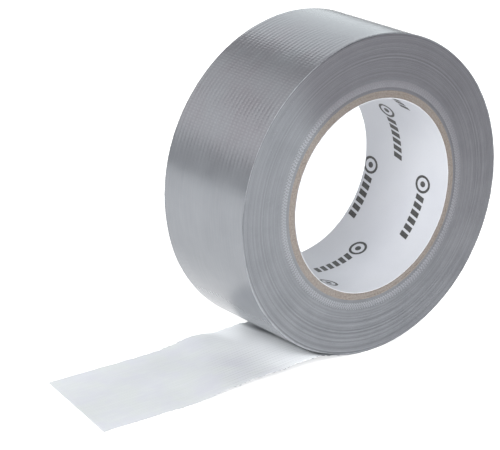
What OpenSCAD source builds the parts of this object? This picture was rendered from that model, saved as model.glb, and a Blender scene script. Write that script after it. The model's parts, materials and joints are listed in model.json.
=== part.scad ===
// A roll of cloth tape on a cardboard core, with a loose tail.
// The roll's axis is Y, the origin is the centre of the bore, and +Z is up.
// The tape leaves the roll just past its lowest point and lies along -X, adhesive side up.

/* [Tape] */
// Width of the tape and of its core
tape_w = 48; // [36:1:60]
// Thickness of the grey outer film
film_t = 0.08; // [0.06:0.01:0.1]
// Thickness of one yarn of the cloth
yarn_t = 0.04; // [0.03:0.01:0.05]
// Thickness of the adhesive coat
adhesive_t = 0.10; // [0.08:0.01:0.14]

/* [Roll] */
// Outer diameter of the full roll
roll_d = 126; // [118:1:150]
// Radial gap in which the wound roll turns inside its outermost turn
turn_gap = 0.08; // [0.05:0.01:0.1]
// Radial build of the dark first turns on the core
starter_build = 1.25; // [0.8:0.05:1.6]
// Radial build of the pale, slack turns outside them
pale_build = 2.6; // [1.8:0.1:3.2]

/* [Core] */
// Bore of the core
bore_d = 76; // [75:0.5:78]
// Thickness of the white paper that lines the bore
liner_t = 0.15; // [0.1:0.05:0.2]
// Thickness of one ply of the core board
ply_t = 0.72; // [0.5:0.02:0.8]

/* [Tail] */
// Angle past the lowest point at which the tape peels off the roll
peel_angle = 14; // [8:1:18]
// Height that the arch in the tail gains past the peel line
arch_rise = 1.3; // [0.6:0.1:2.4]
// Radius of the two long bends that bring the arch down to the surface
landing_r = 190; // [120:10:260]
// Length of the flat free end along its near edge
end_near = 49.5; // [30:0.5:90]
// Length of the flat free end along its far edge
end_far = 41.5; // [30:0.5:90]

/* [Cloth] */
// Spacing of the lengthwise yarns
warp_pitch = 2.05; // [1.5:0.05:3]
// Width of a lengthwise yarn
warp_w = 0.5; // [0.3:0.05:0.8]
// Spacing of the crosswise yarns
weft_pitch = 1.2; // [1:0.1:2.4]
// Width of a crosswise yarn
weft_w = 0.35; // [0.2:0.05:0.5]

/* [Hidden] */
$fn = 180;

// Radii, from the bore outwards
roll_r = roll_d / 2;
bore_r = bore_d / 2;
liner_r = bore_r + liner_t;
core_r = liner_r + 4 * ply_t;
starter_r = core_r + starter_build;
pale_r = starter_r + pale_build;

// Depths of the tape's layers, from the outside of the film inwards
warp_top = film_t + yarn_t;
scrim_top = warp_top + yarn_t;
tape_t = scrim_top + adhesive_t;
main_r = roll_r - 2 * tape_t - turn_gap;
weft_ease = 0.002;

// The tail's path, followed along the outside of its film
peel_x = -roll_r * sin(peel_angle);
peel_z = -roll_r * cos(peel_angle);
crest_r = arch_rise / (1 - cos(peel_angle));
crest_x = peel_x - crest_r * sin(peel_angle);
crest_z = peel_z + arch_rise;
landing_angle = acos(1 - (crest_z + roll_r) / (2 * landing_r));
landing_x = crest_x - 2 * landing_r * sin(landing_angle);

// Places along that path, each [x, z, slope], by the angle from the crest or the landing
function crest(a) = [crest_x + crest_r * sin(a), crest_z - crest_r * (1 - cos(a)), a];
function fall(a) = [crest_x - landing_r * sin(a), crest_z - landing_r * (1 - cos(a)), -a];
function landing(a) = [landing_x + landing_r * sin(a), landing_r * (1 - cos(a)) - roll_r, -a];
function at_depth(s, depth) = [s[0] + depth * sin(s[2]), s[1] + depth * cos(s[2])];
bend_steps = 6;
stations = concat(
    [for (i = [bend_steps:-1:0]) crest(peel_angle * i / bend_steps)],
    [for (i = [1:bend_steps]) fall(landing_angle * i / bend_steps)],
    [for (i = [bend_steps - 1:-1:0]) landing(landing_angle * i / bend_steps)]);

// Yarns each side of the middle one
warp_side = floor((tape_w / 2 - warp_w) / warp_pitch);

silver = [0.62, 0.63, 0.65];
silver_dark = [0.52, 0.53, 0.55];
silver_pale = [0.7, 0.71, 0.73];
cloth = [0.88, 0.88, 0.86];
tack = [0.86, 0.87, 0.88];
kraft = [0.69, 0.62, 0.54];
white = [0.93, 0.93, 0.95];

// A curved band about an axis along Y: angles run from +X towards +Z
module band(centre, r_in, r_out, from, sweep) {
    translate([centre[0], 0, centre[1]])
        rotate([90, 0, 0])
            rotate([0, 0, from])
                rotate_extrude(angle = sweep)
                    translate([r_in, -tape_w / 2])
                        square([r_out - r_in, tape_w]);
}

// A full ring about the roll's axis
module ring(r_in, r_out) {
    rotate([90, 0, 0])
        difference() {
            cylinder(r = r_out, h = tape_w, center = true);
            cylinder(r = r_in, h = tape_w + 2, center = true);
        }
}

// The outermost turn, between two depths: two half circles whose centres differ
// by half a thickness, so that the turn ends one thickness further in, under the tail
module outer_turn(depth_out, depth_in) {
    start = -90 - peel_angle;
    shift = tape_t / 2;
    band([0, 0], roll_r - depth_in, roll_r - depth_out, start, 180);
    band([shift * sin(peel_angle), shift * cos(peel_angle)],
         roll_r - shift - depth_in, roll_r - shift - depth_out, start + 180, 180);
}

// The curved part of the tail, between two depths: over the crest, then down to the surface
module tail(depth_out, depth_in, w) {
    under = [for (s = stations) at_depth(s, depth_out)];
    over = [for (i = [len(stations) - 1:-1:0]) at_depth(stations[i], depth_in)];
    rotate([90, 0, 0])
        linear_extrude(w, center = true)
            polygon(concat(under, over));
}

// The flat free end, between two depths, with its slanting cut
module flat_end(depth_out, depth_in) {
    translate([landing_x, 0, depth_out - roll_r])
        linear_extrude(depth_in - depth_out)
            polygon([[0, -tape_w / 2], [-end_near, -tape_w / 2],
                     [-end_far, tape_w / 2], [0, tape_w / 2]]);
}

// Crosswise yarns along one straight step of the tail, between two stations
module weft_step(from, to) {
    depth = warp_top + yarn_t / 2;
    start = at_depth(from, depth);
    end = at_depth(to, depth);
    count = max(1, round(norm(end - start) / weft_pitch));
    for (i = [0:count - 1]) {
        place = start + (end - start) * (i + 0.5) / count;
        translate([place[0], 0, place[1]])
            rotate([0, (from[2] + to[2]) / 2, 0])
                cube([weft_w, tape_w, yarn_t - 2 * weft_ease], center = true);
    }
}

// Core

module liner_paper() {
    color(white) ring(bore_r, liner_r);
}

module core_ply(number) {
    color(kraft) ring(liner_r + (number - 1) * ply_t, liner_r + number * ply_t);
}

// Wound tape

module starter_turns() {
    color(silver_dark) ring(core_r, starter_r);
}

module pale_turns() {
    color(silver_pale) ring(starter_r, pale_r);
}

module main_turns() {
    color(silver) ring(pale_r, main_r);
}

// Outermost turn

module outer_turn_film() {
    color(silver) outer_turn(0, film_t);
}

module outer_turn_scrim() {
    color(cloth) outer_turn(film_t, scrim_top);
}

module outer_turn_adhesive() {
    color(tack) outer_turn(scrim_top, tape_t);
}

// Tail

module tail_film() {
    color(silver) tail(0, film_t, tape_w);
}

module tail_warp_yarns() {
    color(cloth)
        for (i = [-warp_side:warp_side])
            translate([0, i * warp_pitch, 0])
                tail(film_t, warp_top, warp_w);
}

module tail_weft_yarns() {
    color(cloth)
        for (i = [0:len(stations) - 2])
            weft_step(stations[i], stations[i + 1]);
}

module tail_adhesive() {
    color(tack) tail(scrim_top, tape_t, tape_w);
}

// Free end

module end_film() {
    color(silver) flat_end(0, film_t);
}

module end_warp_yarns() {
    color(cloth)
        intersection() {
            flat_end(film_t, warp_top);
            for (i = [-warp_side:warp_side])
                translate([landing_x - end_near, i * warp_pitch - warp_w / 2, -roll_r])
                    cube([end_near, warp_w, tape_t]);
        }
}

module end_weft_yarns() {
    color(cloth)
        intersection() {
            flat_end(warp_top + weft_ease, scrim_top - weft_ease);
            for (x = [weft_pitch / 2:weft_pitch:end_near - weft_w])
                translate([landing_x - x - weft_w / 2, -tape_w / 2, -roll_r])
                    cube([weft_w, tape_w, tape_t]);
        }
}

module end_adhesive() {
    color(tack) flat_end(scrim_top, tape_t);
}

liner_paper();
core_ply(1);  // core_ply_1
core_ply(2);  // core_ply_2
core_ply(3);  // core_ply_3
core_ply(4);  // core_ply_4
starter_turns();
pale_turns();
main_turns();
outer_turn_film();
outer_turn_scrim();
outer_turn_adhesive();
tail_film();
tail_warp_yarns();
tail_weft_yarns();
tail_adhesive();
end_film();
end_warp_yarns();
end_weft_yarns();
end_adhesive();
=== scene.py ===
"""The looks of a roll of cloth tape with a loose tail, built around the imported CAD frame.

Metres throughout. The roll's axis is Y, the origin is the centre of the bore, +Z is up,
and the tail lies along -X with its adhesive side up.
"""

import json
import math

import bmesh
import bpy
import numpy as np
from mathutils import Matrix, Vector


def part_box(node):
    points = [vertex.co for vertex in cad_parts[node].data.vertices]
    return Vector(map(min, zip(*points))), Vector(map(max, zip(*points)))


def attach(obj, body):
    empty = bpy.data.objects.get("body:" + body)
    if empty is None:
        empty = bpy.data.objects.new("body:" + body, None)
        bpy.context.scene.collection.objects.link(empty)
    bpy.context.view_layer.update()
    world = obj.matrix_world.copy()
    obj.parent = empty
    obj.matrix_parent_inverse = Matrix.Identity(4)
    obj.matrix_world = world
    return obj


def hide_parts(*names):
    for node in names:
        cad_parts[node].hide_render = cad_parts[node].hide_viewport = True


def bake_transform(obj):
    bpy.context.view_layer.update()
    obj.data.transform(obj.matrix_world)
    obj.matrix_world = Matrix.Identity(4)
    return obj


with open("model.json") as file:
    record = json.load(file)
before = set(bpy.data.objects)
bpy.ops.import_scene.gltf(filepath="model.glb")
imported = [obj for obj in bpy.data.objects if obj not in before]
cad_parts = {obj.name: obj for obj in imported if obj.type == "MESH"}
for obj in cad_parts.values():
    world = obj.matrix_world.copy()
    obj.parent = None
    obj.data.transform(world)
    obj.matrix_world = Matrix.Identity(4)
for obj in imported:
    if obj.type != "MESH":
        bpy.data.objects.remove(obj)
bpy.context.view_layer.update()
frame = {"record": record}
MM = 0.001

# ---------------------------------------------------------------- sizes that the frame gives

FLOOR_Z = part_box("end_film")[0].z
ROLL_R = -FLOOR_Z
MAIN_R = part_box("main_turns")[1].x
PALE_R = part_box("pale_turns")[1].x
STARTER_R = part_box("starter_turns")[1].x
PLY_R = [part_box(f"core_ply_{i}")[1].x for i in (1, 2, 3, 4)]
LINER_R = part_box("liner_paper")[1].x
BORE_R = frame["record"]["mounts"][0]["dims"]["r_mm"] * MM
HALF_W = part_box("main_turns")[1].y
FILM_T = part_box("end_film")[1].z - FLOOR_Z
TAPE_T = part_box("end_adhesive")[1].z - FLOOR_Z
LANDING_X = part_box("end_film")[1].x
END_NEAR = LANDING_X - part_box("end_film")[0].x

# ---------------------------------------------------------------- sizes repeated from the CAD

END_FAR = 41.5 * MM
PEEL_ANGLE = math.radians(14)
ARCH_RISE = 1.3 * MM
LANDING_R = 190 * MM
YARN_T = 0.04 * MM
WARP_PITCH, WARP_W = 2.05 * MM, 0.5 * MM
WEFT_PITCH, WEFT_W = 1.2 * MM, 0.35 * MM

PEEL_X = -ROLL_R * math.sin(PEEL_ANGLE)
PEEL_Z = -ROLL_R * math.cos(PEEL_ANGLE)
CREST_R = ARCH_RISE / (1 - math.cos(PEEL_ANGLE))
CREST_X = PEEL_X - CREST_R * math.sin(PEEL_ANGLE)
CREST_Z = PEEL_Z + ARCH_RISE
LANDING_ANGLE = math.acos(1 - (CREST_Z - FLOOR_Z) / (2 * LANDING_R))


# ---------------------------------------------------------------- meshes


def make_piece(name, points, faces, attributes=None, sharp=50):
    """A smooth-shaded object of these points and faces, with doubled points merged.

    attributes maps a name to one number or one vector for each point. Edges between faces
    that meet at more than sharp degrees stay sharp.
    """
    mesh = bpy.data.meshes.new(name)
    mesh.from_pydata(points.reshape(-1, 3).tolist(), [], faces)
    for key, values in (attributes or {}).items():
        kind, field = ("FLOAT", "value") if values.ndim == 1 else ("FLOAT_VECTOR", "vector")
        made = mesh.attributes.new(key, kind, "POINT")
        made.data.foreach_set(field, values.astype(np.float32).ravel())
    piece = bpy.data.objects.new(name, mesh)
    bpy.context.scene.collection.objects.link(piece)
    merge_doubles(mesh)
    mesh.shade_smooth()
    mesh.set_sharp_from_angle(angle=math.radians(sharp))
    return piece


def merge_doubles(mesh, reach=1e-7):
    """Merges points that coincide, drops faces left without area, and turns normals outwards."""
    work = bmesh.new()
    work.from_mesh(mesh)
    bmesh.ops.remove_doubles(work, verts=work.verts, dist=reach)
    bmesh.ops.dissolve_degenerate(work, edges=work.edges, dist=reach)
    bmesh.ops.recalc_face_normals(work, faces=work.faces)
    work.to_mesh(mesh)
    work.free()


def grid_faces(rows, columns, wrap_rows=False, wrap_columns=False):
    """Quads of a rows x columns grid of points, numbered row by row."""
    down = rows if wrap_rows else rows - 1
    along = columns if wrap_columns else columns - 1
    r, c = np.meshgrid(np.arange(down), np.arange(along), indexing="ij")
    r_next, c_next = (r + 1) % rows, (c + 1) % columns
    corners = [r * columns + c, r * columns + c_next,
               r_next * columns + c_next, r_next * columns + c]
    return np.stack(corners, -1).reshape(-1, 4).tolist()


def lathe(name, profile, columns):
    """A closed ring about the Y axis. profile(angle) gives (radii, places along Y)."""
    angles = np.linspace(0, 2 * math.pi, columns, endpoint=False)
    radii, along = profile(angles[:, None])
    radii, along = np.broadcast_arrays(radii, along)
    points = np.stack([radii * np.cos(angles)[:, None], along,
                       radii * np.sin(angles)[:, None]], -1)
    faces = grid_faces(columns, radii.shape[1], wrap_rows=True, wrap_columns=True)
    return make_piece(name, points, faces)


def slab_parts(top, bottom):
    """Points and quads of a closed sheet between two grids of points of the same shape."""
    rows, columns = top.shape[:2]
    width = 2 * columns
    points = np.concatenate([top, bottom[:, ::-1]], 1).reshape(-1, 3)
    faces = grid_faces(rows, width, wrap_columns=True)
    for row in (0, rows - 1):
        start = row * width
        faces += [[start + c, start + c + 1, start + width - 2 - c, start + width - 1 - c]
                  for c in range(columns - 1)]
    return points, faces


def joined(name, parts, attributes=None):
    """One piece from several (points, faces) parts."""
    faces, first = [], 0
    for points, quads in parts:
        faces += [[corner + first for corner in quad] for quad in quads]
        first += len(points)
    return make_piece(name, np.concatenate([points for points, _ in parts]), faces, attributes)


def slab(name, top, bottom, attributes):
    """A closed sheet between two grids of points, as a piece."""
    return joined(name, [slab_parts(top, bottom)], attributes)


# ---------------------------------------------------------------- smooth random shapes


def wander(x, seed, count=512):
    """Smooth random values between -1 and 1 along x, one new value for each unit of x."""
    values = np.random.default_rng(seed).uniform(-1, 1, count)
    whole = np.floor(x).astype(int)
    part = x - whole
    part = part * part * (3 - 2 * part)
    return values[whole % count] * (1 - part) + values[(whole + 1) % count] * part


def round_wander(angles, waves, seed):
    """Smooth random values round a circle, with about that many new values in one turn."""
    return wander(angles / (2 * math.pi) * waves, seed, waves)


def rise(x, start, end):
    """0 before start, 1 after end, and smooth between them. start may be above end."""
    part = np.clip((x - start) / (end - start), 0, 1)
    return part * part * (3 - 2 * part)


def between(x, start, full, ease, end):
    """1 from full to ease, 0 outside start to end, and smooth between them."""
    return rise(x, start, full) * rise(x, end, ease)


# ---------------------------------------------------------------- wound turns

# Points across one turn: the groove, then the proud edge, which slopes back outwards
TURN_PARTS = (0, 0.12, 0.55)
TURN_DROPS = (0.045 * MM, 0, 0.021 * MM)
RIDGE_STEPS = len(TURN_PARTS)
TURN_SEED = 300
TURN_SHARP = 12                     # degrees
LOOSE_SECTOR = math.radians(264)    # where the winding is least even
SWING_TURNS = 5.6                   # turns of tape in one slow swing in and out
PALE_RECESS, STARTER_RECESS = 0.07, 0.12    # millimetres in from the tape's half width


def wound_turns(name, r_in, r_out, columns, shape):
    """A spiral of tape edges on both sides, closed by plain walls at r_in and r_out.

    shape(turn, length, angle, seed) gives how far the edges stand proud, in millimetres, from
    the turns so far, the length of tape so far and the angle round the roll.
    """
    turns = (r_out - r_in) / TAPE_T
    steps = np.arange(-RIDGE_STEPS, math.ceil(turns) * RIDGE_STEPS + 1)
    angles = np.linspace(0, 2 * math.pi, columns + 1)
    phase = steps % RIDGE_STEPS
    laps = (steps // RIDGE_STEPS)[:, None] + angles / (2 * math.pi)
    length = 2 * math.pi * laps * (r_in + laps * TAPE_T / 2)
    raw = laps + np.take(TURN_PARTS, phase)[:, None]
    turn = np.clip(raw, 0, turns)
    drop = np.where(raw == turn, np.take(TURN_DROPS, phase)[:, None], TURN_DROPS[0])
    radius = r_in + turn * TAPE_T
    sides, edges = [], []
    for side in (-1, 1):
        stand = shape(turn, length, angles[None, :], TURN_SEED + side)
        out = HALF_W - drop + stand * MM
        place = np.stack([radius * np.cos(angles), side * out, radius * np.sin(angles)], -1)
        edge = np.stack([turn, stand, 0 * turn], -1)
        sides.append(place if side < 0 else place[::-1])
        edges.append(edge if side < 0 else edge[::-1])
    points = np.concatenate(sides)
    faces = grid_faces(points.shape[0], columns + 1, wrap_rows=True)
    attributes = {"edge": np.concatenate(edges).reshape(-1, 3)}
    return make_piece(name, points, faces, attributes, TURN_SHARP)


def main_shape(turn, length, angle, seed):
    """Slow in and out of the winding, with finer steps from turn to turn."""
    swing = np.sin(2 * math.pi * turn / SWING_TURNS + 2.4 * wander(turn / 7, seed + 10))
    swing_size = 0.058 + 0.037 * wander(turn / 6, seed + 20)
    steps = 0.058 * wander(turn / 2.1, seed + 30)
    fine_steps = 0.015 * wander(turn * 8, seed + 40)
    uneven = 0.25 + 0.75 * (0.5 + 0.5 * np.cos(angle - LOOSE_SECTOR)) ** 3
    return uneven * (swing_size * swing + steps) + fine_steps


def pale_shape(turn, length, angle, seed):
    """Slack turns: puckered at every crosswise yarn, which makes slanting rows of dots."""
    pucker_size = 0.075 + 0.03 * wander(turn * 9, seed)
    puckers = np.cos(2 * math.pi * length / WEFT_PITCH) * pucker_size
    return 0.04 * wander(turn * 1.6, seed + 60) + puckers - PALE_RECESS


def starter_shape(turn, length, angle, seed):
    """The first turns sit a little further in, fairly even."""
    steps = 0.03 * wander(turn * 2, seed + 70)
    fine_steps = 0.02 * wander(turn * 12, seed + 80)
    return steps + fine_steps - STARTER_RECESS


# ---------------------------------------------------------------- the core


def ply(number):
    """One ply of the core board, with a soft, slightly frayed cut at each end."""
    r_in = LINER_R if number == 1 else PLY_R[number - 2]
    r_out = PLY_R[number - 1]
    bevel = 0.09 * MM
    recess = 0.05 * (number % 2)        # millimetres, for every other ply
    across = np.array([0, 0.15, 0.38, 0.62, 0.85, 1])
    ease = np.array([1, 0.25, 0, 0, 0.25, 1]) * bevel

    def profile(angles):
        radii = r_in + (r_out - r_in) * across + 0 * angles
        ends = []
        for side in (-1, 1):
            seed = 100 * number + side
            fray = 0.06 * round_wander(angles + 0.013 * across, 300, seed)
            lean = 0.05 * round_wander(angles, 9, seed + 7)
            ends.append(HALF_W + (fray + lean - recess) * MM - ease)
        return (np.concatenate([radii, radii[:, ::-1]], 1),
                np.concatenate([-ends[0], ends[1][:, ::-1]], 1))

    return lathe(f"core_board_{number}", profile, 600)


def liner():
    """The white paper in the bore: a thin tube whose cut edges lap slightly over the board."""
    along = np.concatenate([[-1, -0.998], np.linspace(-0.99, 0.99, 23), [0.998, 1]])
    at_ends = np.abs(along) > 0.995

    def profile(angles):
        stand = (0.13 + 0.06 * round_wander(angles, 160, 5)) * MM
        lap = np.where(at_ends, 0.10 + 0.05 * round_wander(angles, 90, 8), 0) * MM
        swell = 0.015 * MM * round_wander(angles + 0.2 * along, 60, 6)
        inner = BORE_R + swell
        outer = LINER_R + lap
        place = along * (HALF_W + stand)
        return (np.concatenate([inner, outer], 1),
                np.concatenate([place, place[:, ::-1]], 1))

    return lathe("bore_liner", profile, 360)


# ---------------------------------------------------------------- the strip's shape

PROUD_OUT, PROUD_LIFT = 0.22 * MM, 0.12 * MM            # of the outermost turn's near edge
SET_BACK_IN, SET_BACK_LIFT = 0.7 * MM, 0.12 * MM        # of the same edge, over the top
BULGE_LIFT = 0.4 * MM
HUMP, DIP, BUCKLE = 1.75 * MM, 1.6 * MM, 0.55 * MM      # of the tail's edges
TAIL_FRAY, TURN_FRAY = 1.2, 0.25    # added to the cut's waves near the roll; left on the turn
PEEL_DEGREES = -104         # where the tail peels off, as an angle round the roll
EDGE_FROM = 0.992           # share of the half width at which the strip's edge starts to round
POINTS_PER_RIB = 5


def tail_stations(step):
    """Stations of the film's outside, from the cut end along the floor and over the arch.

    Each is (x, z, x of inward, z of inward, share of the flat end).
    """
    rows = []
    for f in np.linspace(1, 0, round(END_NEAR / step) + 1)[:-1]:
        rows.append((LANDING_X, FLOOR_Z, 0, 1, f))
    bend = round(LANDING_R * LANDING_ANGLE / step)
    for a in np.linspace(0, LANDING_ANGLE, bend + 1)[:-1]:
        rows.append((LANDING_X + LANDING_R * math.sin(a),
                     FLOOR_Z + LANDING_R * (1 - math.cos(a)), -math.sin(a), math.cos(a), 0))
    for a in np.linspace(LANDING_ANGLE, 0, bend + 1)[:-1]:
        rows.append((CREST_X - LANDING_R * math.sin(a),
                     CREST_Z - LANDING_R * (1 - math.cos(a)), -math.sin(a), math.cos(a), 0))
    for a in np.linspace(0, PEEL_ANGLE, round(CREST_R * PEEL_ANGLE / step) + 1):
        rows.append((CREST_X + CREST_R * math.sin(a),
                     CREST_Z - CREST_R * (1 - math.cos(a)), math.sin(a), math.cos(a), 0))
    return rows


def turn_stations(step_angle):
    """Stations round the roll, from where the tail peels off to its inner end beneath it."""
    rows = []
    start = -math.pi / 2 - PEEL_ANGLE
    for share in np.linspace(0, 1, round(2 * math.pi / step_angle) + 1)[1:]:
        angle = start + 2 * math.pi * share
        radius = ROLL_R - TAPE_T * share
        rows.append((radius * math.cos(angle), radius * math.sin(angle),
                     -math.cos(angle), -math.sin(angle), 0))
    return rows


def lifted(x, y):
    """How far the real tail stands above the even arch of the frame, and sags below it."""
    near = rise(y, 0.012, -HALF_W) * rise(x, -0.0185, -0.0245)
    far = rise(y, 0, HALF_W)
    hump = HUMP * rise(x, -0.084, -0.064) * (1 - 0.6 * rise(x, -0.058, -0.042))
    dip = DIP * between(x, -0.048, -0.038, -0.024, -0.017)
    buckle = BUCKLE * between(x, -0.066, -0.053, -0.051, -0.046)
    return near * hump + far * (buckle - dip)


def edge_wave(s, seed):
    """The knife's slightly serrated cut along the strip's edges."""
    slow = 0.14 * wander(s / (4 * MM), seed)
    fine = 0.14 * wander(s / (0.9 * MM), seed + 1)
    teeth = 0.5 + 0.5 * np.cos(2 * math.pi * s / WEFT_PITCH)
    uneven_teeth = 0.22 * teeth * (1 + wander(s / (2.5 * MM), seed + 2))
    return (slow + fine + uneven_teeth) * MM


def proud(degrees):
    """0 to 1: where the outermost turn's near edge stands out from the roll's side.

    degrees is the angle round the roll from +X towards +Z, from -104 to 256.
    """
    kink = between(degrees, 214, 216, 218, 220)
    low_left = rise(degrees, 178, 192) * (1 - 0.8 * kink) * (1 - 0.5 * rise(degrees, 234, 246))
    dotted = 0.75 + 0.25 * wander(degrees / 1.7, 221)
    upper_left = dotted * between(degrees, 112, 124, 166, 176)
    root = rise(degrees, -88, -97)
    return np.maximum.reduce([0.8 * low_left, upper_left, 0.5 * root])


def set_back(degrees):
    """0 to 1: where the outermost turn's near edge lies back from the side, over the top."""
    return between(degrees, 30, 62, 100, 112)


def bulge(degrees):
    """0 to 1: where the outermost turn hangs slack, above the place where the tail peels off."""
    return between(degrees, 188, 206, 238, 254)


def drawn(degrees):
    """0 to 1: where the film is drawn tight over the cloth, so that its yarns show most."""
    return between(degrees, 92, 106, 158, 176) * (1 - 0.3 * rise(degrees, 114, 126))


class Strip:
    """Points of the strip at any depth below the film's outside."""

    def __init__(self, tail, turn=()):
        self.rows = np.array([*tail, *turn])
        self.on_tail = np.arange(len(self.rows)) < len(tail)
        middle = self.rows[:, :2] - np.outer(self.rows[:, 4], [(END_NEAR + END_FAR) / 2, 0])
        steps = np.linalg.norm(np.diff(middle, axis=0), axis=1)
        self.s = np.concatenate([[0], np.cumsum(steps)])
        turned = np.linspace(0, 360, len(turn) + 1)[1:]
        degrees = PEEL_DEGREES + np.concatenate([np.zeros(len(tail)), turned])
        self.proud, self.set_back, self.bulge, self.drawn = (
            ~self.on_tail * f(degrees) for f in (proud, set_back, bulge, drawn))

    def at(self, across, depth, ragged=1.0):
        """Points at across, from -1 at the near edge to 1 at the far one, and at depth.

        ragged is how much of the uneven cut of the edges they take.
        """
        x0, z0, nx, nz, flat = (column[:, None] for column in self.rows.T)
        depth = depth - self.slack(across)
        fray = np.where(self.on_tail, 1 + TAIL_FRAY * rise(self.s, 0.045, 0.06), TURN_FRAY)
        near = edge_wave(self.s, 201) * fray + PROUD_OUT * self.proud - SET_BACK_IN * self.set_back
        far = edge_wave(self.s, 211) * fray
        wave = np.stack([near, far])[(across > 0).astype(int)].T
        width = HALF_W + ragged * wave * np.abs(across) ** 8
        y = across * width
        share = (y / HALF_W + 1) / 2
        length = END_NEAR + (END_FAR - END_NEAR) * share
        x = x0 - flat * length + depth * nx
        z = z0 + depth * nz + self.on_tail[:, None] * lifted(x, y)
        return np.stack([x, y, z], -1)

    def slack(self, across):
        """How far the outermost turn stands off the roll."""
        near = np.maximum(-across, 0)
        return (BULGE_LIFT * self.bulge[:, None] + PROUD_LIFT * self.proud[:, None] * near ** 30
                + SET_BACK_LIFT * self.set_back[:, None] * near ** 12)

    def marks(self, across):
        """(along, across) of each point in metres, for materials that follow the strip."""
        s = np.broadcast_to(self.s[:, None], (len(self.s), len(across)))
        y = np.broadcast_to(across * HALF_W, s.shape)
        return np.stack([s, y, 0 * s], -1)


def rib(across):
    """1 on a lengthwise yarn, and 0 between yarns."""
    place = across * HALF_W / WARP_PITCH
    return (0.5 + 0.5 * np.cos(2 * math.pi * place)) ** 1.5


def strip_columns():
    """Places across the strip, closer together at its rounded edges."""
    count = round(2 * HALF_W / WARP_PITCH * POINTS_PER_RIB)
    inner = np.linspace(-EDGE_FROM, EDGE_FROM, count)
    return np.concatenate([[-1, -0.9975], inner, [0.9975, 1]])


def edge_round(across, size):
    """How far a surface falls away at the strip's edges."""
    out = np.clip((np.abs(across) - EDGE_FROM) / (1 - EDGE_FROM), 0, 1)
    return size * out ** 2


# ---------------------------------------------------------------- the strip's pieces

TAIL_STEP, TURN_STEP = 0.8 * MM, math.radians(1.5)      # from one row of points to the next
ADHESIVE_STEP = 0.3 * MM
VALLEY, DRAWN_VALLEY = 0.015 * MM, 0.078 * MM           # between the film's ribs
BETWEEN_WARP, BETWEEN_WEFT = 0.012 * MM, 0.02 * MM      # the adhesive's hollows


def strip_film():
    """The grey film: the outermost turn, the arched tail and the flat end in one sheet."""
    path = Strip(tail_stations(TAIL_STEP), turn_stations(TURN_STEP))
    across = strip_columns()
    valleys = (1 - rib(across)) * (VALLEY + DRAWN_VALLEY * path.drawn[:, None])
    outside = valleys + edge_round(across, 0.03 * MM)
    inside = FILM_T + 0.6 * valleys
    marks = path.marks(across)
    return slab("strip_film", path.at(across, outside), path.at(across, inside),
                {"strip": np.concatenate([marks, marks[:, ::-1]], 1).reshape(-1, 3)})


def strip_adhesive():
    """The adhesive coat on the tail and the end, with the cloth showing through as relief."""
    path = Strip(tail_stations(ADHESIVE_STEP))
    across = strip_columns()
    weft = 0.5 + 0.5 * np.cos(2 * math.pi * path.s / WEFT_PITCH)[:, None]
    relief = BETWEEN_WARP * (1 - rib(across)) + BETWEEN_WEFT * (1 - weft)
    low = FILM_T + 0.025 * MM
    top = TAPE_T - relief - edge_round(across, 0.08 * MM)
    marks = path.marks(across)
    return slab("strip_adhesive", path.at(across, top), path.at(across, low, 0.6),
                {"strip": np.concatenate([marks, marks[:, ::-1]], 1).reshape(-1, 3)})


def turn_backing():
    """Cloth and adhesive inside the outermost turn, pressed down onto the turn beneath it."""
    path = Strip(tail_stations(1 * MM)[-1:], turn_stations(TURN_STEP))
    across = np.array([-1, -0.998, -0.99, -0.97, -0.94, -0.9, 0, 0.9, 0.998, 1])
    radius = np.hypot(path.rows[:, 0], path.rows[:, 1])[:, None]
    outer = FILM_T + 0.085 * MM
    inner = radius - (MAIN_R + 0.03 * MM) + path.slack(across)
    top, bottom = (path.at(across, depth, 0.9) for depth in (outer, inner))
    hollow = (1 - path.proud)[:, None] * 0.22 * MM * np.maximum(-across, 0) ** 8
    for grid in (top, bottom):
        grid[..., 1] += hollow
    marks = np.outer(path.proud, [1] * len(across) + [0] * len(across))
    return slab("outer_turn_backing", top, bottom, {"proud": marks.ravel()})


# ---------------------------------------------------------------- the cloth's yarns

YARN_CROWN = 0.012 * MM                     # how far a yarn's edges fall away from its middle
WARP_DEPTH = FILM_T + 0.006 * MM            # of each layer of yarns, below the film's outside
WEFT_DEPTH = FILM_T + 0.008 * MM + YARN_T


def warp_yarns():
    """The lengthwise yarns in the tail, each ending a little past the cut or short of it."""
    rng = np.random.default_rng(41)
    sides = math.floor((HALF_W - WARP_W) / WARP_PITCH)
    across = np.array([-0.5, 0, 0.5]) * WARP_W / HALF_W
    crown = np.array([1, 0, 1]) * YARN_CROWN
    parts = []
    for i in range(-sides, sides + 1):
        path = Strip(tail_stations(TAIL_STEP))
        path.rows[:, 4] *= 1 + rng.uniform(-0.002, 0.009)
        place = across + i * WARP_PITCH / HALF_W
        parts.append(slab_parts(path.at(place, WARP_DEPTH + YARN_T - crown, 0),
                                path.at(place, WARP_DEPTH + crown, 0)))
    return joined("warp_yarns", parts)


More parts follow.
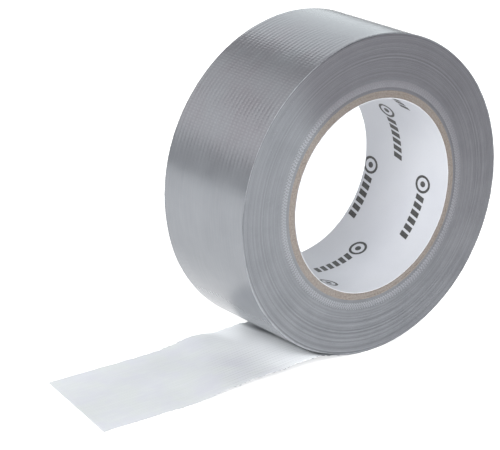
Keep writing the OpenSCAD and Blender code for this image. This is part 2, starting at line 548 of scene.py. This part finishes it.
def weft_yarns():
    """The crosswise yarns in the tail, each ending a little past the strip's edges."""
    rng = np.random.default_rng(43)
    path = Strip([(LANDING_X - x, FLOOR_Z, 0, 1, 0)
                  for x in np.arange(END_NEAR - WEFT_W, WEFT_PITCH / 2, -WEFT_W / 2)]
                 + [row for row in tail_stations(WEFT_W / 2) if row[4] == 0])
    crown = np.array([1, 0, 1])[:, None] * YARN_CROWN
    parts = []
    for s in np.arange(WEFT_PITCH, path.s[-1] - WEFT_PITCH, WEFT_PITCH):
        row = int(np.searchsorted(path.s, s))
        x = path.rows[row, 0]
        cut = (LANDING_X - x - END_NEAR) / (END_FAR - END_NEAR) * 2 - 1
        near, far = rng.uniform(-0.05, 0.3, 2) * MM / HALF_W
        far_end = min(1, max(cut, -0.9)) if x < LANDING_X else 1
        across = np.linspace(-1 - near, far_end + far, 25)
        rows = slice(row - 1, row + 2)
        top, bottom = (path.at(across, depth, 0)[rows]
                       for depth in (WEFT_DEPTH + YARN_T, WEFT_DEPTH))
        top[..., 2] -= crown
        bottom[..., 2] += crown
        parts.append(slab_parts(top, bottom))
    return joined("weft_yarns", parts)


# ---------------------------------------------------------------- marks printed in the bore

INK_R, INK_BACK_R = BORE_R - 0.03 * MM, BORE_R + 0.04 * MM
MARKS_PER_ROW = 4
MARK_STEP = math.radians(88)             # round the bore, from one mark of a row to the next
MARK_ROWS = ((-10.7, -23.6), (20.5, -23.6), (4.9, 20.4))     # place along Y, and an angle
BAR_COUNT, BAR_L, BAR_GAP, BAR_H, BAR_LEAN = 6, 2.1, 1.05, 4.6, 0.25      # millimetres
RING_R, RING_W, RING_TALL, DOT_R = 3.6, 1.0, 1.15, 1.2                    # millimetres


def inked(along, across, centre_y, centre_angle):
    """A thin solid on the bore's surface from grids of places in millimetres."""
    y = np.minimum(across * MM + centre_y * MM, HALF_W - 0.3 * MM)
    angle = centre_angle + along * MM / BORE_R
    grids = [np.stack([r * np.cos(angle), y, r * np.sin(angle)], -1)
             for r in (INK_R, INK_BACK_R)]
    return slab_parts(*grids)


def mark(centre_y, centre_angle):
    """One mark: a row of leaning bars and a ring with a dot."""
    parts = []
    whole = BAR_COUNT * (BAR_L + BAR_GAP) + 2 * RING_R
    share, level = np.meshgrid(np.linspace(0, 1, 5), np.linspace(-0.5, 0.5, 4), indexing="ij")
    for i in range(BAR_COUNT):
        start = i * (BAR_L + BAR_GAP) - whole / 2
        parts.append(inked(start + share * BAR_L + BAR_LEAN * BAR_H * level, BAR_H * level,
                           centre_y, centre_angle))
    turn, out = np.meshgrid(np.linspace(0, 2 * math.pi, 41), np.linspace(0, 1, 3), indexing="ij")
    for inner, outer in ((RING_R - RING_W, RING_R), (0.001, DOT_R)):
        radius = inner + (outer - inner) * out
        parts.append(inked(whole / 2 - RING_R + radius * np.cos(turn),
                           RING_TALL * radius * np.sin(turn), centre_y, centre_angle))
    return parts


def bore_marks():
    """The printed marks, in staggered rows all round the bore."""
    parts = []
    for centre_y, degrees in MARK_ROWS:
        for k in range(MARKS_PER_ROW):
            parts += mark(centre_y, math.radians(degrees) + k * MARK_STEP)
    return joined("bore_marks", parts)


# ---------------------------------------------------------------- materials

# Tints: what is added to a grey's red, green and blue
PLAIN = (0, 0, 0)
COOL = (-3, 0, 5)        # the slight blue of the tape's greys
MAUVE = (0, -2, 4)       # a warmer patch of the same grey


def grey(level, tint=COOL):
    """A linear colour from a display grey of 0 to 255, with a small tint added to each channel."""
    shown = [(level + t) / 255 for t in tint]
    return tuple(c / 12.92 if c < 0.04045 else ((c + 0.055) / 1.055) ** 2.4 for c in shown) + (1,)


class Nodes:
    """A new node material and short ways to add to it."""

    def __init__(self, name):
        self.material = bpy.data.materials.new(name)
        self.material.use_nodes = True
        self.tree = self.material.node_tree
        self.shader = self.tree.nodes["Principled BSDF"]

    def add(self, kind, inputs=None, **settings):
        """A node, with its inputs set to values or linked from sockets."""
        made = self.tree.nodes.new("ShaderNode" + kind)
        for key, value in settings.items():
            setattr(made, key, value)
        for key, value in (inputs or {}).items():
            self.put(made.inputs[key], value)
        return made

    def put(self, socket, value):
        """Sets a socket to a value, or links it from another socket."""
        if isinstance(value, bpy.types.NodeSocket):
            self.tree.links.new(value, socket)
        else:
            socket.default_value = value

    def shade(self, **inputs):
        """Sets or links the shader's inputs, named with _ for a space."""
        for key, value in inputs.items():
            self.put(self.shader.inputs[key.replace("_", " ")], value)

    def place(self):
        """The point in the piece's own space, in metres."""
        return self.add("TexCoord").outputs["Object"]

    def attribute(self, name, output="Vector"):
        """A value that the mesh carries at its points."""
        return self.add("Attribute", attribute_name=name).outputs[output]

    def math(self, operation, a, b=0.0, c=0.0):
        """One step of arithmetic."""
        return self.add("Math", {0: a, 1: b, 2: c}, operation=operation).outputs[0]

    def scaled(self, vector, by):
        """A vector times another, part by part."""
        return self.add("VectorMath", {0: vector, 1: by}, operation="MULTIPLY").outputs[0]

    def noise(self, vector, scale, detail=3.0, roughness=0.55):
        """Smooth noise from 0 to 1; scale is in features per metre."""
        return self.add("TexNoise", {"Vector": vector, "Scale": scale, "Detail": detail,
                                     "Roughness": roughness}).outputs["Fac"]

    def ramp(self, value, low, high, to_low=0.0, to_high=1.0):
        """value between low and high, mapped smoothly to another range and held there."""
        return self.add("MapRange", {"Value": value, "From Min": low, "From Max": high,
                                     "To Min": to_low, "To Max": to_high},
                        interpolation_type="SMOOTHSTEP").outputs[0]

    def mix(self, share, a, b):
        """A colour between a and b."""
        made = self.add("Mix", {0: share, 6: a, 7: b}, data_type="RGBA")
        return made.outputs[2]

    def bump(self, height, distance, strength=1.0):
        """A normal from a height in units of distance."""
        return self.add("Bump", {"Height": height, "Distance": distance,
                                 "Strength": strength}).outputs["Normal"]

    def stripes(self, place, pitch):
        """1 in the gaps between evenly spaced yarns, and 0 on the middle of each."""
        wave = self.math("COSINE", self.math("MULTIPLY", place, 2 * math.pi / pitch))
        return self.math("MULTIPLY_ADD", wave, -0.5, 0.5)


# Where things fade in along the strip, each (none, full), in metres from the cut end
TIGHT_FROM, TIGHT_TO = (0.315, 0.338), (0.405, 0.38)    # film drawn tight over the cloth
PAINTED_LIGHT_FROM = (0.066, 0.088)         # painted light: paler adhesive near the roll, against the roll's shadow
NIP_SHADE_FROM = (0.0932, 0.0966)         # painted shade: the darker line where the tail meets the roll
SHADE_PATCH_FROM, SHADE_PATCH_TO = (0.057, 0.066), (0.09, 0.074)      # painted shade: a slanting patch near the near edge
SHADE_PATCH_SLANT = -0.333                 # of the line where that starts, along for each step across


def film_material():
    """Grey plastic film over cloth: soft gloss, fine cross-hatch, faint lengthwise streaks."""
    n = Nodes("film_grey")
    strip = n.attribute("strip")
    split = n.add("SeparateXYZ", {0: strip})
    along, across = split.outputs[0], split.outputs[1]
    tight = n.math("MULTIPLY", n.ramp(along, *TIGHT_FROM), n.ramp(along, *TIGHT_TO))
    patches = n.noise(strip, 45, 3)
    streaks = n.noise(n.scaled(strip, (60.0, 1500.0, 1.0)), 1, 2)
    blotch = n.noise(n.scaled(strip, (380.0, 520.0, 1.0)), 1, 1)
    weft = n.math("SINE", n.math("MULTIPLY", along, 2 * math.pi / WEFT_PITCH))
    weft = n.math("MULTIPLY", weft, n.ramp(blotch, 0.35, 0.65, 0.3, 1.0))
    weft = n.math("MULTIPLY", weft, n.ramp(tight, 0, 1, 0.04, 0.45))
    height = n.math("ADD", weft, n.math("MULTIPLY", blotch, n.ramp(tight, 0, 1, 0.3, 0.8)))
    tone = n.ramp(n.math("ADD", patches, n.math("MULTIPLY", streaks, 0.5)), 0.45, 1.05)
    on_warp = n.math("SUBTRACT", 1.0, n.stripes(across, WARP_PITCH))
    dots = n.math("MULTIPLY", on_warp, n.stripes(along, WEFT_PITCH))
    colour = n.mix(tone, n.mix(tight, grey(122), grey(118, (1, -2, 4))), grey(131))
    colour = n.mix(n.math("MULTIPLY", dots, n.ramp(tight, 0, 1, 0, 0.55)), colour, grey(142))
    n.shade(Base_Color=colour,
            Roughness=n.ramp(patches, 0.3, 0.7, 0.2, 0.26),
            Metallic=0.3, Specular_IOR_Level=0.6,
            Normal=n.bump(height, 0.032 * MM, 1.0))
    return n.material


def edge_material(name, film, backing, spread, low, high, share):
    """Cut edges of wound tape: film and backing of each turn, smears and turns of unlike tone.

    film and backing are display greys, and spread is how unlike the turns are. An edge that
    stands at low, in millimetres, is darker than one at high, by share, as painted shade in
    the recesses. A sector of the side also gets painted shade.
    """
    n = Nodes(name)
    place = n.place()
    split = n.add("SeparateXYZ", {0: n.attribute("edge")})
    turn, stand = split.outputs[0], split.outputs[1]
    part = n.math("FRACT", turn)
    in_film = n.math("MULTIPLY", n.ramp(part, 0.02, 0.2), n.ramp(part, 0.5, 0.4))
    per_turn = n.add("TexNoise", {"W": turn, "Scale": 0.4, "Detail": 4.0, "Roughness": 0.8},
                     noise_dimensions="1D").outputs["Fac"]
    smears = n.noise(place, 90, 4, 0.6)
    specks = n.ramp(n.noise(place, 1800, 1), 0.68, 0.8)
    colour = n.mix(in_film, grey(backing), grey(film))
    colour = n.mix(n.ramp(per_turn, 0.3, 0.7, 0, spread), colour, grey(film + 27))
    # painted shade: edges that lie back are darker, as shade in the recesses between turns
    colour = n.mix(n.ramp(stand, low, high, share, 0), colour, grey(film - 40))
    colour = n.mix(n.ramp(smears, 0.35, 0.75, 0, 0.25), colour, grey(film - 17))
    colour = n.mix(n.math("MULTIPLY", specks, 0.55), colour, grey(backing + 32))
    # painted shade: a sector of the side is darker, standing in for how the light falls on its
    # ridges
    sector_shade = n.math("MULTIPLY", painted_shade_sector(n, place), n.ramp(per_turn, 0.3, 0.7, 0.88, 0.52))
    colour = n.mix(sector_shade, colour, grey(film - 36, MAUVE))
    n.shade(Base_Color=colour, Roughness=n.ramp(smears, 0.3, 0.7, 0.47, 0.63),
            Specular_IOR_Level=0.5, Normal=n.bump(n.noise(place, 2200, 2), 0.045 * MM, 0.8))
    return n.material


def painted_shade_sector(n, place):
    """0 to 1: painted shade on a sector of the roll's side, darkest over the top."""
    split = n.add("SeparateXYZ", {0: place})
    angle = n.math("ARCTAN2", split.outputs["Z"], split.outputs["X"])
    start, darkest_to, pale_from, pale_to, dark_again = (
        math.radians(degrees) for degrees in (60, 118, 142, 235, 410))
    turned = n.math("WRAP", angle, start + 2 * math.pi, start)
    leading = n.ramp(turned, pale_from, darkest_to)
    trailing = n.ramp(turned, pale_to, dark_again)
    return n.math("ADD", leading, trailing)


def board_material():
    """Brown core board: fibres, flecks and paler and darker patches, and painted shade on one
    sector.
    """
    n = Nodes("kraft_board_grain")
    place = n.place()
    fibres = n.noise(place, 1500, 4, 0.7)
    patches = n.noise(place, 140, 3)
    flecks = n.ramp(n.noise(place, 3200, 1), 0.66, 0.76)
    colour = n.mix(n.ramp(fibres, 0.3, 0.7), grey(108, (0, -8, -14)), grey(140, (0, -7, -12)))
    colour = n.mix(n.ramp(patches, 0.35, 0.7, 0, 0.4), colour, grey(130, (0, -4, -8)))
    colour = n.mix(n.math("MULTIPLY", flecks, 0.6), colour, grey(72, (0, -10, -18)))
    # painted shade on the same sector of the board's cut ends
    colour = n.mix(n.math("MULTIPLY", painted_shade_sector(n, place), 0.3), colour, grey(84, (0, -8, -14)))
    n.shade(Base_Color=colour, Roughness=0.85, Specular_IOR_Level=0.25,
            Normal=n.bump(fibres, 0.06 * MM, 0.8))
    return n.material


def paper_material():
    """White coated paper with a faint fibre and slow changes of tone."""
    n = Nodes("liner_paper_white")
    place = n.place()
    fibres = n.noise(place, 1400, 4, 0.7)
    slow = n.noise(place, 40, 2)
    colour = n.mix(n.ramp(slow, 0.3, 0.7), grey(189, (-2, 0, 6)), grey(194, (-2, 0, 5)))
    colour = n.mix(n.ramp(fibres, 0.55, 0.8, 0, 0.35), colour, grey(176, (-2, 0, 4)))
    n.shade(Base_Color=colour, Roughness=n.ramp(fibres, 0.3, 0.7, 0.5, 0.62),
            Specular_IOR_Level=0.4, Normal=n.bump(fibres, 0.012 * MM, 0.6))
    return n.material


def adhesive_material():
    """The tacky side: pale grey, with duller patches and the cloth's gaps showing through.

    It has painted light near the roll, and painted shade on a patch near the near edge and
    where the tail meets the roll.
    """
    n = Nodes("adhesive_pale")
    strip = n.attribute("strip")
    split = n.add("SeparateXYZ", {0: strip})
    along, across = split.outputs[0], split.outputs[1]
    gaps = n.math("MULTIPLY", n.stripes(along, WEFT_PITCH), n.stripes(across, WARP_PITCH))
    # painted shade: thin is a slanting patch near the near edge, laid on as more of the cloth's
    # gaps
    slanted = n.math("MULTIPLY_ADD", across, SHADE_PATCH_SLANT, along)
    thin = n.math("MULTIPLY", n.ramp(slanted, *SHADE_PATCH_FROM), n.ramp(across, 0.012, -0.008, 0.3, 1.0))
    thin = n.math("MULTIPLY", thin, n.ramp(along, *SHADE_PATCH_TO, 0.25, 1.0))
    patches = n.noise(strip, 70, 4, 0.6)
    drags = n.noise(n.scaled(strip, (90.0, 420.0, 1.0)), 1, 3)
    grain = n.noise(strip, 1700, 2)
    colour = n.mix(n.ramp(patches, 0.35, 0.65), grey(212, (-3, -1, 6)), grey(217, (-4, 0, 1)))
    colour = n.mix(n.ramp(drags, 0.4, 0.75, 0, 0.25), colour, grey(225, (-3, 0, 3)))
    # painted light: paler near the roll, against the shadow that the roll casts there
    colour = n.mix(n.ramp(along, *PAINTED_LIGHT_FROM), colour, grey(250, (-3, 0, 3)))
    shown = n.math("ADD", n.ramp(patches, 0.35, 0.65, 0.02, 0.1), n.math("MULTIPLY", thin, 0.4))
    colour = n.mix(n.math("MULTIPLY", gaps, shown), colour, grey(180, (-3, 0, 3)))
    # painted shade: the dark line where the tail goes in under the roll
    colour = n.mix(n.ramp(along, *NIP_SHADE_FROM), colour, grey(152))
    n.shade(Base_Color=colour, Roughness=n.ramp(patches, 0.3, 0.7, 0.45, 0.6),
            Specular_IOR_Level=0.35, Normal=n.bump(grain, 0.015 * MM, 0.4))
    return n.material


def backing_material():
    """Cloth and adhesive seen edge on in the outermost turn."""
    n = Nodes("backing_edge")
    grain = n.noise(n.place(), 1600, 3)
    pale = n.mix(n.ramp(grain, 0.3, 0.7), grey(174), grey(192))
    dull = n.mix(n.ramp(grain, 0.3, 0.7), grey(122), grey(140))
    colour = n.mix(n.ramp(n.attribute("proud", "Fac"), 0.5, 0.95), dull, pale)
    n.shade(Base_Color=colour, Roughness=0.6, Normal=n.bump(grain, 0.02 * MM, 0.6))
    return n.material


def yarn_material():
    """White cotton and polyester yarn."""
    n = Nodes("yarn_white")
    twist = n.noise(n.place(), 2500, 2)
    n.shade(Base_Color=n.mix(twist, grey(205), grey(222, PLAIN)), Roughness=0.8,
            Normal=n.bump(twist, 0.02 * MM, 0.8))
    return n.material


def ink_material():
    """Dark grey ink with slightly uneven cover."""
    n = Nodes("ink_dark_grey")
    cover = n.noise(n.place(), 900, 3, 0.7)
    n.shade(Base_Color=n.mix(n.ramp(cover, 0.35, 0.75), grey(54, PLAIN), grey(76, PLAIN)),
            Roughness=0.55, Normal=n.bump(cover, 0.01 * MM, 0.5))
    return n.material


def floor_material():
    """Plain pale studio floor."""
    n = Nodes("studio_floor")
    tone = n.noise(n.place(), 3, 2)
    n.shade(Base_Color=n.mix(tone, grey(240, PLAIN), grey(244, PLAIN)), Roughness=0.9,
            Specular_IOR_Level=0.1, Emission_Color=grey(255, PLAIN), Emission_Strength=0.5)
    return n.material


def finish_piece(piece, material, slot, *nodes):
    """Gives a piece its material and hides the CAD nodes that it stands for.

    slot is not used.
    """
    piece.data.materials.append(material)
    if nodes:
        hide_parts(*nodes)
    return piece


# ---------------------------------------------------------------- building


def build_roll():
    """The core and the wound turns, which spin inside the outermost turn."""
    board = board_material()
    made = [finish_piece(liner(), paper_material(), "liner_paper", "liner_paper"),
            finish_piece(bore_marks(), ink_material(), "liner_paper")]
    for number in (1, 2, 3, 4):
        made.append(finish_piece(ply(number), board, "kraft_board", f"core_ply_{number}"))
    starter_grey = edge_material("starter_edge_grey", 107, 113, 0.3, -0.17, -0.08, 0.2)
    pale_grey = edge_material("pale_edge_grey", 131, 145, 0.5, -0.14, 0.0, 0.9)
    tape_grey = edge_material("tape_edge_grey", 108, 115, 0.7, -0.14, 0.14, 0.45)
    starter = wound_turns("starter_spiral", PLY_R[3], STARTER_R, 360, starter_shape)
    pale = wound_turns("pale_spiral", STARTER_R, PALE_R, 900, pale_shape)
    main = wound_turns("main_spiral", PALE_R, MAIN_R, 180, main_shape)
    made += [finish_piece(starter, starter_grey, "starter_edges", "starter_turns"),
             finish_piece(pale, pale_grey, "pale_edges", "pale_turns"),
             finish_piece(main, tape_grey, "tape_edges", "main_turns")]
    for piece in made:
        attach(piece, "roll")


def build_strip():
    """The outermost turn and the tail."""
    backing = finish_piece(turn_backing(), backing_material(), "adhesive",
                           "outer_turn_scrim", "outer_turn_adhesive")
    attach(backing, "strip")
    film = finish_piece(strip_film(), film_material(), "film",
                        "outer_turn_film", "tail_film", "end_film")
    adhesive = finish_piece(strip_adhesive(), adhesive_material(), "adhesive",
                            "tail_adhesive", "end_adhesive")
    warp = finish_piece(warp_yarns(), yarn_material(), "scrim",
                        "tail_warp_yarns", "end_warp_yarns")
    weft = finish_piece(weft_yarns(), yarn_material(), "scrim",
                        "tail_weft_yarns", "end_weft_yarns")
    for piece in (film, adhesive, warp, weft):
        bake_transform(piece)


# ---------------------------------------------------------------- studio

CAMERA_AZIMUTH = math.radians(-38.118)
CAMERA_ELEVATION = math.radians(19.502)
CAMERA_ROLL = math.radians(0.492)
CAMERA_TARGET = Vector((-57.137, -21.377, -0.106)) * MM
CAMERA_DISTANCE = 795.588 * MM
CAMERA_LENS = 157.42


def direction(azimuth, elevation):
    return Vector((math.sin(azimuth) * math.cos(elevation),
                   -math.cos(azimuth) * math.cos(elevation), math.sin(elevation)))


def build_camera():
    """A long lens, from the left of the near side and a little above."""
    back = direction(CAMERA_AZIMUTH, CAMERA_ELEVATION)
    level = (-back).cross(Vector((0, 0, 1))).normalized()
    up = level.cross(-back)
    right = math.cos(CAMERA_ROLL) * level + math.sin(CAMERA_ROLL) * up
    up = -math.sin(CAMERA_ROLL) * level + math.cos(CAMERA_ROLL) * up
    camera = bpy.data.objects.new("camera", bpy.data.cameras.new("camera"))
    camera.data.lens = CAMERA_LENS
    camera.data.sensor_width = 36
    camera.data.clip_start, camera.data.clip_end = 0.01, 20
    axes = Matrix((right, up, back)).transposed().to_4x4()
    camera.matrix_world = Matrix.Translation(CAMERA_TARGET + CAMERA_DISTANCE * back) @ axes
    bpy.context.scene.collection.objects.link(camera)
    bpy.context.scene.camera = camera


# Soft lights: name, azimuth and elevation in degrees, width and height in metres, watts, colour
NEUTRAL, SKY = (1, 1, 1), (0.92, 0.98, 1)
SOFTBOXES = (
    ("front_left", -57, 30, 1.0, 0.8, 25, NEUTRAL),
    ("front", -10, 25, 1.0, 0.8, 10.5, NEUTRAL),
    ("front_right", 35, 30, 1.0, 0.8, 7.5, NEUTRAL),
    ("right_panel", 95, 27, 0.9, 1.5, 17.5, NEUTRAL),
    ("back_right_low", 148, 14, 0.8, 0.7, 2.6, SKY),
    ("back_right_high", 148, 38, 0.8, 0.7, 2.4, SKY),
    ("back_low", 178, 20, 1.1, 0.7, 2.6, NEUTRAL),
    ("back_left_low", -143, 23, 0.9, 0.6, 2.1, NEUTRAL),
    ("back_left_high", -160, 40, 0.6, 0.5, 0.85, NEUTRAL),
    ("left_low", -97, 12, 0.8, 0.5, 3.0, NEUTRAL),
)
LIGHT_DISTANCE = 1.6
FLOOR_RADIUS = 1.2        # within the ring of lights, so that it is bright to its edge
SURROUND = 0.05           # strength of the surround where the camera does not see it directly


def softbox(name, azimuth, elevation, width, height, power, colour):
    """A rectangular light aimed at the origin."""
    back = direction(math.radians(azimuth), math.radians(elevation))
    light = bpy.data.lights.new(name, "AREA")
    light.shape, light.size, light.size_y = "RECTANGLE", width, height
    light.energy, light.color = power, colour
    holder = bpy.data.objects.new(name, light)
    holder.location = back * LIGHT_DISTANCE
    holder.rotation_mode = "QUATERNION"
    holder.rotation_quaternion = back.to_track_quat("Z", "Y")
    holder.visible_camera = False
    bpy.context.scene.collection.objects.link(holder)


def build_studio():
    """A pale round floor, a white surround and soft lights."""
    turned = np.linspace(0, 2 * math.pi, 120, endpoint=False)
    points = np.stack([FLOOR_RADIUS * np.cos(turned), FLOOR_RADIUS * np.sin(turned),
                       0 * turned + FLOOR_Z - 0.1 * MM], -1)
    floor = make_piece("studio_floor", points, [list(range(len(points)))])
    floor.data.materials.append(floor_material())
    bpy.context.scene.world = white_surround()
    bpy.context.scene.view_settings.view_transform = "Standard"
    for light in SOFTBOXES:
        softbox(*light)


def white_surround():
    """A surround that looks white behind the floor and gives only a little light."""
    world = bpy.data.worlds.new("white_surround")
    world.use_nodes = True
    nodes, links = world.node_tree.nodes, world.node_tree.links
    background = nodes["Background"]
    background.inputs["Color"].default_value = grey(255, PLAIN)
    strength = nodes.new("ShaderNodeMapRange")
    strength.inputs["To Min"].default_value = SURROUND
    links.new(nodes.new("ShaderNodeLightPath").outputs["Is Camera Ray"], strength.inputs["Value"])
    links.new(strength.outputs["Result"], background.inputs["Strength"])
    return world


build_camera()
build_studio()
build_roll()
build_strip()
